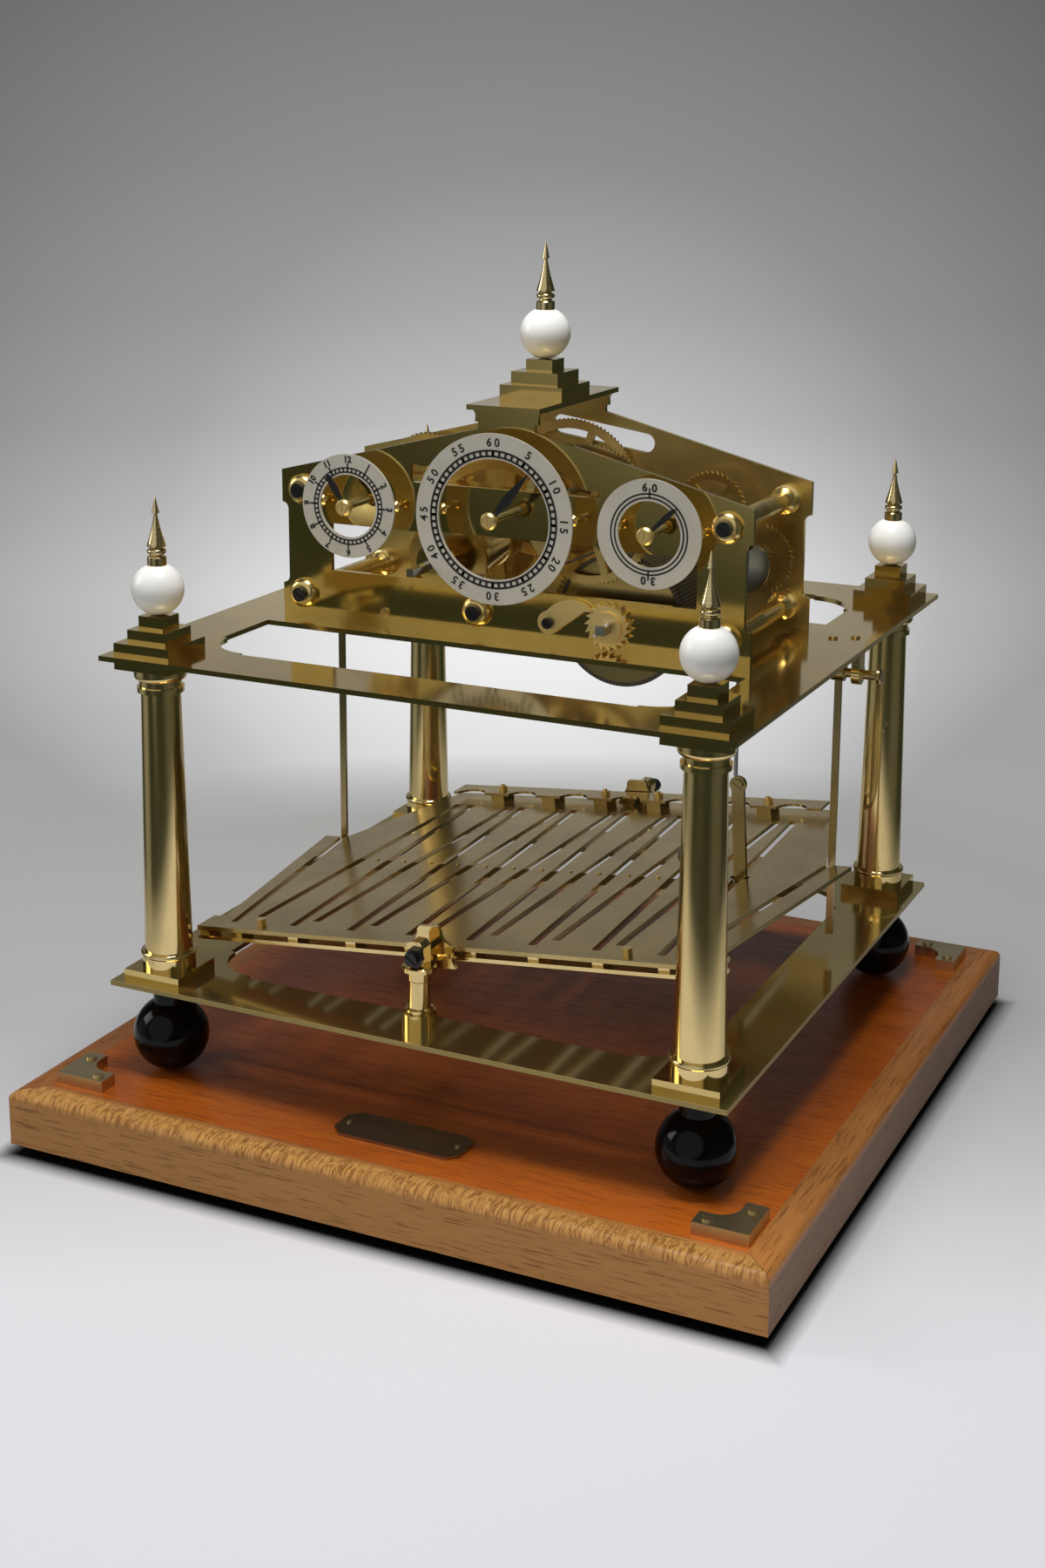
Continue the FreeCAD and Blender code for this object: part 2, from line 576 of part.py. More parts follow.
def make_click():
    y0, y1 = front_y - 3.2, front_y - 0.4
    pts = []
    for i in range(ratchet_teeth):
        a = nose_deg + i * 360.0 / ratchet_teeth
        pts += [polar(barrel_at, ratchet_r, a), polar(barrel_at, ratchet_root, a)]
    wheel = slab_y(pts, y0, y1).fuse(bar_y(barrel_at, 7.2, y0 - 1.6, y0))
    save("click_wheel", bored(wheel, barrel_at).removeSplitter())
    # click: a comma with its nose in the ratchet, one end round the pivot
    tip = polar(barrel_at, ratchet_root + 0.35, nose_deg + 2.0)
    heel = polar(barrel_at, ratchet_r + 3.4, nose_deg + 3.0)
    back = polar(barrel_at, ratchet_r + 1.6, nose_deg + 13.0)
    cx, cz = click_at
    body = slab_y([tip, heel, (cx - 1.0, cz + 5.4, cx + 9.5, cz + 11.4), (cx - 1, cz - 1),
                   (cx + 4.4, cz - 3.2), (back[0], back[1], cx + 10.5, cz + 1.4)], y0, y1)
    boss = bar_y(click_at, 5.5, y0, y1)
    lug = bar_y(click_at, 1.6 + run_fit, y0 - 1, y1 + 1)
    save("click", body.fuse(boss).cut(lug).removeSplitter())


def make_chain():
    # straight run crossing from the underside of the fusee to the top of the barrel
    r0, r1, y, thick = fusee_r0 + 1.9, coil_r + 0.9, fusee_y0 + 3.4, 1.6
    d = gap_of(fusee_at, barrel_at)
    lean = bearing(fusee_at, barrel_at) + math.degrees(math.asin((r0 + r1 + thick) / d))
    run = math.sqrt(d * d - (r0 + r1 + thick) ** 2)
    start = polar(fusee_at, r0 + thick / 2, lean - 90)
    shape = box(0, run, y, y + 2.2, -thick / 2, thick / 2)
    shape.rotate(V(0, 0, 0), V(0, 1, 0), -lean)
    shape.translate(V(start[0], 0, start[1]))
    save("chain", shape)


# ---- tray: the zig-zag track that the ball runs along; the piece that takes most skill to make,
# since sixteen slanting runs must meet at their bends and the whole rocks on two pivots

def tilted(shape):
    shape.translate(V(0, 0, pivot_z))
    shape.rotate(V(0, 0, pivot_z), V(0, 1, 0), -tray_deg)
    return shape


def slot_runs():
    # every run as (u, v) of its front end and (u, v) of its back end
    runs = []
    for k in range(-4, 4):
        u = (k + 0.5) * bend_u
        if k > -4:
            runs.append((u - leg_u, -103.0, k * bend_u + leg_u, 98.0))
        if k < 3:
            runs.append((u + leg_u, -95.0, (k + 1) * bend_u - leg_u, 98.0))
    return runs


def slot_cut(run):
    u0, v0, u1, v1 = run
    h = slot_w / 2
    return slab_z([(u0 - h, v0), (u0 + h, v0), (u1 + h, v1), (u1 - h, v1)], -20, 20)


def make_tray_sheet():
    top, low = sheet_top, sheet_top - sheet_t
    h = slot_w / 2
    right = [(0, tray_front), (131.5, tray_front), (131.5, -97.5), (125.4, -97.5), (ear_u, mouth_v),
             (mouth_u + h, mouth_v), (mouth_u - h, mouth_v), (109.0, tray_back), (0, tray_back)]
    side = slab_z([(tray_cx + q[0],) + q[1:] for q in right], low, top)
    sheet = joined([side, flipped(side, tray_cx)])
    cuts = [slot_cut(run) for run in slot_runs()]
    for s in (-1, 1):
        cuts.append(slot_cut((s * 113.4, -104.0, tray_cx + s * mouth_u, mouth_v + 0.5)))
    cuts.append(box(link_u - 4.6, link_u + 4.6, 3.2, 7.2, -20, 20))
    for cut in cuts:
        sheet = sheet.cut(cut)
    save("tray_sheet", tilted(sheet))


def make_tray_frame():
    low = sheet_top - sheet_t
    u0, u1 = tray_cx - 131.5, tray_cx + 131.5
    rail = box(u0, u1, tray_front, -99.0, low - rail_gap - rail_t, low - rail_gap)
    ribs = [rail, box(u0, u0 + 5.0, -110.5, -101.0, low - rail_gap, low),
            box(u1 - 5.0, u1, -110.5, -101.0, low - rail_gap, low)]
    for k in range(-4, 4):
        u = (k + 0.5) * bend_u
        ribs.append(box(u - 2.6, u + 2.6, -110.5, -101.0, low - rail_gap, low))
    save("tray_front_rail", tilted(joined(ribs)))

    lift = sheet_top + guard_lift
    guard = box(-104, 109, 105.5, 120.0, lift, lift + guard_t)
    for k in range(-3, 4):
        guard = guard.cut(post(k * bend_u, 103.5, 8.5, lift - 5, lift + 5))
    blocks = [guard]
    for k in range(-3, 3):
        u = (k + 0.5) * bend_u
        blocks.append(box(u - 3.8, u + 3.8, 106.2, 119.0, sheet_top, lift))
    save("tray_back_guard", tilted(joined(blocks)))

    bar = box(-129, 133, -13, 3, low - 3.0, low)
    pin = Part.makeCylinder(1.25, 5.0, V(link_u, 3, link_w), V(0, 1, 0))
    head = Part.makeCylinder(2.6, 1.0, V(link_u, 8, link_w), V(0, 1, 0))
    lug = box(link_u - 4, link_u + 4, -2, 3, link_w - 3.4, low - 3.0)
    save("tray_cross_bar", tilted(joined([bar, lug, pin, head])))


def hexagon(u, v, across, z0, z1):
    r = across / math.sqrt(3)
    turns = [math.radians(60 * i) for i in range(6)]
    return slab_z([(u + r * math.cos(a), v + r * math.sin(a)) for a in turns], z0, z1)


def make_tray_trim():
    # hexagon nuts of the rails and the row of small screws along the cross bar
    top = sheet_top
    lift = top + guard_lift + guard_t
    nuts = [hexagon(u, -103.6, 4.2, top, top + 2.6) for u in (-98.4, 89.0)]
    for k in (-3, -1, 0, 2):
        u = (k + 0.5) * bend_u
        nuts.append(hexagon(u, 114.0, 4.6, lift, lift + 1.8))
        nuts.append(post(u, 114.0, 1.2, lift + 1.8, lift + 2.8))
    for k in range(-6, 7):
        nuts.append(post(k * bend_u / 2, -2.0, 1.1, top, top + 0.5))
    save("tray_nuts", tilted(Part.makeCompound(nuts)))

    brackets = []
    half = [(0, -9.6), (12.0, -9.6), (10.9, -1.6, 10.4, -5.4), (12.2, 0.8), (5.7, 7.8, 7.4, 3.0),
            (4.6, 9.4), (0, 9.4)]
    for s, v_edge, y in ((-1, tray_front, -118.0), (1, tray_back, 122.4)):
        side = slab_y(half, y - 1.1, y + 1.1)
        plate = joined([side, flipped(side)])
        near, far = sorted((v_edge, y - s * 1.1))
        seat = box(-10, 10, near, far, -6.2, sheet_top)
        plate = plate.fuse(seat).removeSplitter()
        hole = Part.makeCylinder(pivot_r + run_fit, 12, V(0, y - 6, 0), V(0, 1, 0))
        brackets.append(plate.cut(hole))
    return brackets


def make_tray_brackets(brackets):
    save("tray_brackets", tilted(Part.makeCompound(brackets)))


def make_posts():
    posts, screws = [], []
    head_x, head_y = 3.9, 3.4
    for y, s, inner in ((post_front_y, -1, -114.5), (post_back_y, 1, 118.5)):
        tall = pivot_z - 4.6 - lower_top
        profile = [(7.8, 0), (7.8, 6.4), (6.3, 6.8), (6.3, 8.2), (5.1, 8.9), (4.6, tall - 7.4),
                   (5.2, tall - 6.8), (5.2, tall - 2.8), (7.6, tall - 2.4), (7.6, tall - 0.4),
                   (7.0, tall)]
        shaft = turned(profile, V(0, y, lower_top))
        half = [(0, -5.6), (head_x, -5.6), (head_x, 4.2), (head_x - 1.8, 6.8), (0, 6.8)]
        side = slab_y([(a, pivot_z + b) for a, b in half], y - head_y, y + head_y)
        head = joined([side, flipped(side)])
        hole = bar_y((0, pivot_z), pivot_r, y - 8, y + 8)
        posts.append(shaft.fuse(head).cut(hole).removeSplitter())
        y0, y1 = sorted((inner, y + s * head_y))
        pin = bar_y((0, pivot_z), pivot_r, y0, y1)
        face = y + s * head_y
        near, far = sorted((face, face + s * 2.6))
        nut = slab_y([polar((0, pivot_z), 4.6, 60 * i) for i in range(6)], near, far)
        if s < 0:
            knob = slotted((0, pivot_z), 3.0, near - 2.4, 2.4)
        else:
            knob = [(3.0, 0), (3.0, 1.6), (2.4, 2.0), (2.4, 2.6), (3.6, 3.2), (3.6, 6.4), (2.4, 7.4)]
            knob = turned(knob, V(0, face + 2.6, pivot_z), V(0, 1, 0))
        screws.append(joined([pin, nut, knob]))
    save("pivot_posts", posts)
    return screws


def make_ball():
    rise = math.sqrt(ball_r ** 2 - (slot_w / 2) ** 2) + 0.02
    u0, v0, u1, v1 = (2.5 * bend_u - leg_u, -103.0, 2 * bend_u + leg_u, 98.0)
    u = u0 + (u1 - u0) * (ball_v - v0) / (v1 - v0)
    save("rolling_ball", tilted(Part.makeSphere(ball_r, V(u, ball_v, sheet_top + rise))))


# ---- link from the tray to the crank, and the trip arbor

def make_link():
    foot = FreeCAD.Rotation(V(0, 1, 0), -tray_deg).multVec(V(link_u, 0, link_w)) + V(0, 0, pivot_z)
    lean = math.degrees(math.atan2(foot.x - strap_x, strap_top - foot.z))
    half, thick, head_r = 3.05, 1.2, 4.0
    long = gap_of((foot.x, foot.z), (strap_x, strap_top))
    strap = slab_y([(-half, 0), (half, 0, 0, -half), (half, long), (-half, long)], -thick, thick)
    strap = strap.fuse(bar_y((0, long), head_r, -thick, thick)).cut(bar_y((0, 0), 1.25 + run_fit, -5, 5))
    strap.rotate(V(0, 0, 0), V(0, 1, 0), -lean)
    strap.translate(V(foot.x, link_y + 0.6, foot.z))
    screw = slotted((strap_x, strap_top), 2.7, link_y + 0.6 - thick - 1.0, 1.0)
    save("link_strap", [strap.removeSplitter(), screw])
    eye_z = crank_at[1] + crank_pin_r
    rod = post(rod_x, link_y, 1.0, strap_top + head_r + 0.1, eye_z - 2.4)
    eye = bar_y((rod_x, eye_z), 3.0, link_y - 1.3, link_y + 1.3).cut(bar_y((rod_x, eye_z), 1.6, 0, 10))
    save("link_rod", joined([rod, eye]))


def make_trip():
    x_end = 155.0
    shaft = bar_x(trip_y, trip_z, trip_r, -152.0, x_end)
    parts = [shaft]
    knob = turned([(2.8, 0), (3.6, 0.6), (3.6, 2.0), (2.8, 2.7)], V(x_end, trip_y, trip_z), V(1, 0, 0))
    parts.append(knob)
    for s in (-1, 1):
        x = tray_cx + s * trip_x
        parts.append(bar_x(trip_y, trip_z, 4.2, x - 3.0, x + 3.0))
        parts.append(box(x - 1.7, x + 1.7, trip_y - 0.8, trip_y + 0.8, trip_tip, trip_z - 1.0))
    save("trip_arbor", joined(parts))
    brackets = []
    under = upper_top - plate_t
    for s in (-1, 1):
        x0, x1 = sorted((s * 141.5, s * 150.5))
        hub = bar_x(trip_y, trip_z, 5.0, s * 146 - 2.0, s * 146 + 2.0)
        web = box(s * 146 - 2.0, s * 146 + 2.0, trip_y - 4, trip_y + 4, trip_z, under)
        pad = box(s * 143.0 - 6.5, s * 143.0 + 6.5, trip_y - 5.5, trip_y + 11.5, under - 1.8, under)
        hole = bar_x(trip_y, trip_z, trip_r + run_fit, -160, 160)
        brackets.append(joined([hub, web, pad]).cut(hole))
        for dx, dy in ((-8.8, 0.1), (0.4, 5.7)):
            x, y = s * (142.2 + dx), trip_y + dy
            head = post(x, y, 2.1, upper_top, upper_top + 1.0)
            brackets.append(head.cut(box(x - 3, x + 3, y - 0.3, y + 0.3, upper_top + 0.5, upper_top + 2)))
    save("trip_brackets", brackets)


make_base()
make_brackets()
make_feet()
make_plates()
make_columns()
make_finials()
make_movement_plates()
make_movement_trim()
make_dials()
make_hands()
make_train()
make_power()
make_click()
make_chain()
make_tray_sheet()
make_tray_frame()
tray_irons = make_tray_trim()
make_tray_brackets(tray_irons)
save("pivot_screws", make_posts())
make_ball()
make_link()
make_trip()
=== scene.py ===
import bpy
import bmesh
import math
from mathutils import Matrix, Vector


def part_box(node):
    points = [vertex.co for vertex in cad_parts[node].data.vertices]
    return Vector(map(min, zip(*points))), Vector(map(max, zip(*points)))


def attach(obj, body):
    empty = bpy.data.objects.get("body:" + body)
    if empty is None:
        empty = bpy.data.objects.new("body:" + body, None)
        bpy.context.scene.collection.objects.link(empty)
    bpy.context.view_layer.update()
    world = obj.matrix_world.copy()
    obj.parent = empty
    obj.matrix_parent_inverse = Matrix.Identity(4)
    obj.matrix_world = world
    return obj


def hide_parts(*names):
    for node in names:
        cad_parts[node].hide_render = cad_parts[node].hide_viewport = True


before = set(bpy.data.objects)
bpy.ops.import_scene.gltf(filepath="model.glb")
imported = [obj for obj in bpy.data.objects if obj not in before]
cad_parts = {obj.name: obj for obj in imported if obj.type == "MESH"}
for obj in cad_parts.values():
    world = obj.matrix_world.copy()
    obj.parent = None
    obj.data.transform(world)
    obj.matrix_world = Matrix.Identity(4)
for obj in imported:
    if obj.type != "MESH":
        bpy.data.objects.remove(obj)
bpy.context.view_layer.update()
mm = 0.001
plateMiddle = Vector((-0.2, -2.4, 0.0)) * mm  # the brass plates' middle, from the base's middle


def spot(x, y, z):  # millimetres from the plates' middle to metres in the frame
    return Vector((x, y, z)) * mm + plateMiddle


def rgba(colour, share=1.0):  # share darkens or lightens the colour
    return (*[c * share for c in colour], 1.0)


class Value:  # one output socket that can be used in sums
    def __init__(self, graph, socket):
        self.graph, self.socket = graph, socket

    def __add__(self, other): return self.graph.calc("ADD", self, other)
    def __radd__(self, other): return self.graph.calc("ADD", other, self)
    def __sub__(self, other): return self.graph.calc("SUBTRACT", self, other)
    def __rsub__(self, other): return self.graph.calc("SUBTRACT", other, self)
    def __mul__(self, other): return self.graph.calc("MULTIPLY", self, other)
    def __rmul__(self, other): return self.graph.calc("MULTIPLY", other, self)
    def __truediv__(self, other): return self.graph.calc("DIVIDE", self, other)
    def __rtruediv__(self, other): return self.graph.calc("DIVIDE", other, self)
    def __lt__(self, other): return self.graph.calc("LESS_THAN", self, other)
    def __gt__(self, other): return self.graph.calc("GREATER_THAN", self, other)
    def __abs__(self): return self.graph.calc("ABSOLUTE", self)


class Graph:  # node tree of a material or of the world
    def __init__(self, owner, outputKind, coordinates):
        owner.use_nodes = True
        self.owner, self.tree = owner, owner.node_tree
        self.tree.nodes.clear()
        self.output = self.tree.nodes.new(outputKind)
        self.place = self.node("ShaderNodeTexCoord", {}, {}, coordinates)

    def node(self, kind, settings, inputs, out=0):  # a ramp's stops name its two ends first
        made = self.tree.nodes.new(kind)
        for key, value in settings.items():
            if key == "stops":
                ramp = made.color_ramp
                for i, (at, colour) in enumerate(value):
                    stop = ramp.elements[i] if i < 2 else ramp.elements.new(at)
                    stop.position, stop.color = at, rgba(colour)
            else:
                setattr(made, key, value)
        for key, value in inputs.items():
            if isinstance(value, Value):
                self.tree.links.new(value.socket, made.inputs[key])
            else:
                made.inputs[key].default_value = value
        return Value(self, made.outputs[out])

    def calc(self, operation, *inputs):
        return self.node("ShaderNodeMath", {"operation": operation}, dict(enumerate(inputs)))

    def axes(self):
        split = self.node("ShaderNodeSeparateXYZ", {}, {0: self.place}).socket.node
        return [Value(self, split.outputs[i]) for i in range(3)]

    def stretched(self, scale):
        return self.node("ShaderNodeMapping", {}, {"Vector": self.place, "Scale": scale})

    def noise(self, scale, detail=3.0, rough=0.55, vector=None, distortion=0.0):
        return self.node("ShaderNodeTexNoise", {}, {
            "Vector": vector or self.place, "Scale": scale, "Detail": detail, "Roughness": rough,
            "Distortion": distortion}, "Fac")

    def ramp(self, value, low, high):
        return self.node("ShaderNodeMapRange", {"clamp": True},
                         {"Value": value, "From Min": low, "From Max": high})

    def blend(self, factor, first, second):
        return self.node("ShaderNodeMix", {"data_type": "RGBA"},
                         {"Factor": factor, 6: first, 7: second}, 2)

    def bump(self, height, strength, distance):
        return self.node("ShaderNodeBump", {},
                         {"Height": height, "Strength": strength, "Distance": distance})

    def finish(self, kind, inputs):
        shader = self.node(kind, {}, inputs)
        self.tree.links.new(shader.socket, self.output.inputs["Surface"])
        return self.owner

    def surface(self, inputs):
        return self.finish("ShaderNodeBsdfPrincipled", inputs)


def newMaterial(name):
    return Graph(bpy.data.materials.new(name), "ShaderNodeOutputMaterial", "Object")


# how far each mark shows in a brass finish: in its colour, and in its roughness
brassWear = {"clouds": (0.7, 0.04), "specks": (0.3, 0.10), "hairs": (0.2, 0.03)}
sawnShadedEdge = {"below": 0.0001, "shade": 0.62, "rough": 0.25}  # edges under a polished top face: rougher as sawn, and darkened by a painted dark reflection
speckShade = 0.55


def brass(name, colour, tarnish, rough, brushed=0.0, direction=(1, 1, 1), cloud=18.0,
          metallic=0.98, top=None):
    g = newMaterial(name)
    clouds = g.ramp(g.noise(cloud, 4.0, 0.6), 0.35, 0.72)
    specks = g.ramp(g.noise(300.0, 2.0), 0.70, 0.76)
    hairs = g.noise(60.0, 2.0, 0.5, g.stretched(direction))
    cloudWear, speckWear, hairWear = (brassWear[mark] for mark in ("clouds", "specks", "hairs"))
    worn = clouds * cloudWear[0] + g.ramp(hairs, 0.4, 0.7) * hairWear[0]
    base = g.blend(worn, rgba(colour), rgba(tarnish))
    base = g.blend(specks * speckWear[0], base, rgba(tarnish, speckShade))
    shine = rough + clouds * cloudWear[1] + specks * speckWear[1] + hairs * hairWear[1]
    if top is not None:
        # painted dark reflection on the edges below the top face, with the real roughness of a
        # sawn edge
        edge = g.axes()[2] < top - sawnShadedEdge["below"]
        base = g.blend(edge, base, rgba(tarnish, sawnShadedEdge["shade"]))
        shine = shine + edge * sawnShadedEdge["rough"]
    inputs = {"Base Color": base, "Metallic": metallic, "Roughness": shine}
    if brushed:
        inputs["Normal"] = g.bump(hairs, brushed, 0.0002)
    return g.surface(inputs)


def turnedBrass(name, pale, deep, rough):
    # satin brass with fine marks of the lathe round its axis
    g = newMaterial(name)
    marks = g.noise(30.0, 2.0, 0.5, g.stretched((0.5, 0.5, 60)))
    base = g.blend(g.ramp(marks, 0.35, 0.65), rgba(pale), rgba(deep))
    return g.surface({"Base Color": base, "Metallic": 1.0, "Roughness": rough + marks * 0.1,
                      "Normal": g.bump(marks, 0.05, 0.0002)})


def steel(name, colour, rough):
    g = newMaterial(name)
    clouds = g.ramp(g.noise(70.0, 3.0), 0.35, 0.7)
    base = g.blend(clouds, rgba(colour), rgba(colour, 0.6))
    return g.surface({"Base Color": base, "Metallic": 1.0, "Roughness": rough + clouds * 0.12})


def silvered(name, colour, tarnish, rough):
    g = newMaterial(name)
    grain = g.noise(900.0, 3.0)
    clouds = g.ramp(g.noise(60.0, 3.0), 0.3, 0.75)
    base = g.blend(clouds * 0.6, rgba(colour), rgba(tarnish))
    return g.surface({"Base Color": base, "Metallic": 0.55, "Roughness": rough + grain * 0.12,
                      "Normal": g.bump(grain, 0.06, 0.0001)})


def plainPaint(name, colour, rough, specular=0.5):
    g = newMaterial(name)
    clouds = g.noise(200.0, 3.0)
    base = g.blend(clouds * 0.25, rgba(colour), rgba(colour, 0.5))
    return g.surface({"Base Color": base, "Roughness": rough + clouds * 0.06,
                      "Specular IOR Level": specular})


def ivory(name, white, cream, rough):
    g = newMaterial(name)
    clouds = g.ramp(g.noise(38.0, 4.0, 0.6, None, 0.6), 0.35, 0.75)
    base = g.blend(clouds * 0.4, rgba(white), rgba(cream))
    return g.surface({"Base Color": base, "Roughness": rough + clouds * 0.05})


grainLook = {
    "squeeze": [(3.0, 60.0, 60.0), (60.0, 3.0, 60.0)],  # fibres along X, and along Y
    "figure": [(1.2, 3.0, 1.5), (3.0, 1.2, 1.5)],
    "poreShade": 0.45, "paintedLightCorner": (0.14, 0.36), "paintedLightLift": 1.5,  # painted pool of light, palest at the front right
}


def woodColour(g, along, pale, mid, dark):
    # long fibres, dark pores and slow figure, and a painted pool of light towards the front right;
    # along is 0 for grain on X, 1 for grain on Y
    squeeze, drift = grainLook["squeeze"][along], grainLook["figure"][along]
    fibres = g.noise(6.0, 5.0, 0.62, g.stretched(squeeze), 0.3)
    pores = g.ramp(g.noise(18.0, 3.0, 0.6, g.stretched(squeeze)), 0.54, 0.66)
    figure = g.noise(9.0, 3.0, 0.5, g.stretched(drift), 0.8)
    tone = g.blend(g.ramp(fibres, 0.32, 0.70), rgba(mid), rgba(pale))
    tone = g.blend(g.ramp(figure, 0.38, 0.72) * 0.55, tone, rgba(dark))
    x, y, z = g.axes()
    # painted light: the wood turns paler towards the front-right corner, where light falls
    corner = g.ramp(x - y, *grainLook["paintedLightCorner"])
    tone = g.blend(corner * 0.6, tone, rgba(pale, grainLook["paintedLightLift"]))
    return g.blend(pores * 0.6, tone, rgba(dark, grainLook["poreShade"])), fibres, pores


borderLook = {
    "wood": ((0.41, 0.170, 0.044), (0.31, 0.105, 0.023), (0.20, 0.058, 0.014)),  # pale to dark
    "frontFace": ((0.42, 0.205, 0.057), (0.17, 0.076, 0.020)),  # each with its pores
    # the side sticks' outer faces carry painted shade, darker and greyer than the front face
    "shadedSideFace": ((0.21, 0.130, 0.085), (0.10, 0.062, 0.042)),
    "sheenStrip": ((0.60, 0.31, 0.085), (0.25, 0.100, 0.022)),  # rippled figure brightened with a painted highlight on the front's rounded edge
    "sheenStripEdge": (-0.0125, -0.0095), "faceEdge": (0.0240, 0.0205),
    "joint": (0.10, 0.035, 0.015), "jointHalf": 0.00022, "jointFrom": 0.0195,
}


def frameWood(name, half, look):
    # mitred border: grain turns at each corner, with a thin dark joint line
    g = newMaterial(name)
    x, y, z = g.axes()
    overX, overY = abs(x) - half.x, abs(y) - half.y
    acrossTone, acrossFibres, acrossPores = woodColour(g, 0, *look["wood"])
    alongTone, alongFibres, alongPores = woodColour(g, 1, *look["wood"])
    sideStick = overX > overY
    tone = g.blend(sideStick, acrossTone, alongTone)
    faces = g.ramp(z, *look["faceEdge"])
    facePores = g.blend(sideStick, acrossPores, alongPores)
    # painted shade on the side sticks' outer faces
    shadedSideTone = g.blend(facePores * 0.6, *map(rgba, look["shadedSideFace"]))
    frontTone = g.blend(facePores * 0.75, *map(rgba, look["frontFace"]))
    tone = g.blend(faces * 0.75, tone, g.blend(sideStick, frontTone, shadedSideTone))
    ripple = g.ramp(g.noise(5.0, 4.0, 0.62, g.stretched((130, 26, 26)), 1.2), 0.44, 0.60)
    # painted highlight: the front's rounded edge is made bright as where light catches it, with
    # rippled wood figure in it
    sheenStrip = g.ramp(overY, *look["sheenStripEdge"]) * (y < 0.0) * (1.0 - faces) * (1.0 - sideStick)
    tone = g.blend(sheenStrip * 0.85, tone, g.blend(ripple, *map(rgba, look["sheenStrip"])))
    line = (abs(overX - overY) < look["jointHalf"]) * (z > look["jointFrom"])
    tone = g.blend(line * 0.65, tone, rgba(look["joint"]))
    height = g.blend(sideStick, acrossFibres, alongFibres)
    return g.surface({"Base Color": tone, "Roughness": 0.34 + acrossPores * 0.2 + faces * 0.2,
                      "Specular IOR Level": 0.3, "Normal": g.bump(height, 0.10, 0.0003)})


def panelWood(name, *wood):
    g = newMaterial(name)
    tone, fibres, pores = woodColour(g, 0, *wood)
    return g.surface({"Base Color": tone, "Roughness": 0.30 + pores * 0.2,
                      "Specular IOR Level": 0.3, "Normal": g.bump(fibres, 0.07, 0.0003)})


drumLook = {
    "firstCoil": 0.0026, "pitch": 0.0037, "wall": 0.0294, "linksPerRadian": 18.0,
    "brass": (0.60, 0.47, 0.20), "link": (0.12, 0.105, 0.085), "rivet": (0.42, 0.36, 0.26),
    "seam": (0.05, 0.045, 0.04),
}


def barrelBrass(name, low, high, look):
    # brass ends, and dark chain wound on the wall: links repeat round the drum and coil by coil
    g = newMaterial(name)
    x, y, z = g.axes()
    across, up = x - (low.x + high.x) / 2, z - (low.z + high.z) / 2
    angle = g.calc("ARCTAN2", up, across)
    wound = across * across + up * up > look["wall"] * look["wall"]
    link = abs(g.calc("FRACT", angle * look["linksPerRadian"]) - 0.5)
    coil = abs(g.calc("FRACT", (y - (low.y + look["firstCoil"])) / look["pitch"]) - 0.5)
    rivet = g.ramp(link, 0.16, 0.10)
    seam = g.ramp(coil, 0.12, 0.20)
    base = g.blend(rivet * 0.8, rgba(look["link"]), rgba(look["rivet"]))
    base = g.blend(seam * 0.5, base, rgba(look["seam"]))
    base = g.blend(wound, rgba(look["brass"]), base)
    return g.surface({"Base Color": base, "Metallic": 1.0, "Roughness": 0.22 + wound * 0.2,
                      "Normal": g.bump((rivet + link) * wound, 0.35, 0.0004)})


coneLook = {"brass": (0.80, 0.60, 0.25), "tarnish": (0.58, 0.41, 0.15),
            "square": (0.50, 0.50, 0.48), "squareBehind": 0.0005}


def fuseeBrass(name, plateFront, look):
    # brass cone and arbor, with a steel square in front of the plate
    g = newMaterial(name)
    x, y, z = g.axes()
    clouds = g.ramp(g.noise(40.0), 0.35, 0.7)
    base = g.blend(clouds * 0.6, rgba(look["brass"]), rgba(look["tarnish"]))
    base = g.blend(y < plateFront + look["squareBehind"], base, rgba(look["square"]))
    return g.surface({"Base Color": base, "Metallic": 1.0, "Roughness": 0.18})


screwLook = {"brassOne": (-67.0, 0.0, 234.5), "reach": 0.006,
             "blued": (0.010, 0.010, 0.013), "brass": (0.72, 0.54, 0.22)}


def screwSteel(name, look):
    # blued heads, and one small brass screw
    g = newMaterial(name)
    x, y, z = g.axes()
    brassOne = spot(*look["brassOne"])
    across, up = x - brassOne.x, z - brassOne.z
    isBrass = across * across + up * up < look["reach"] * look["reach"]
    return g.surface({"Base Color": g.blend(isBrass, rgba(look["blued"]), rgba(look["brass"])),
                      "Metallic": isBrass, "Roughness": 0.26})


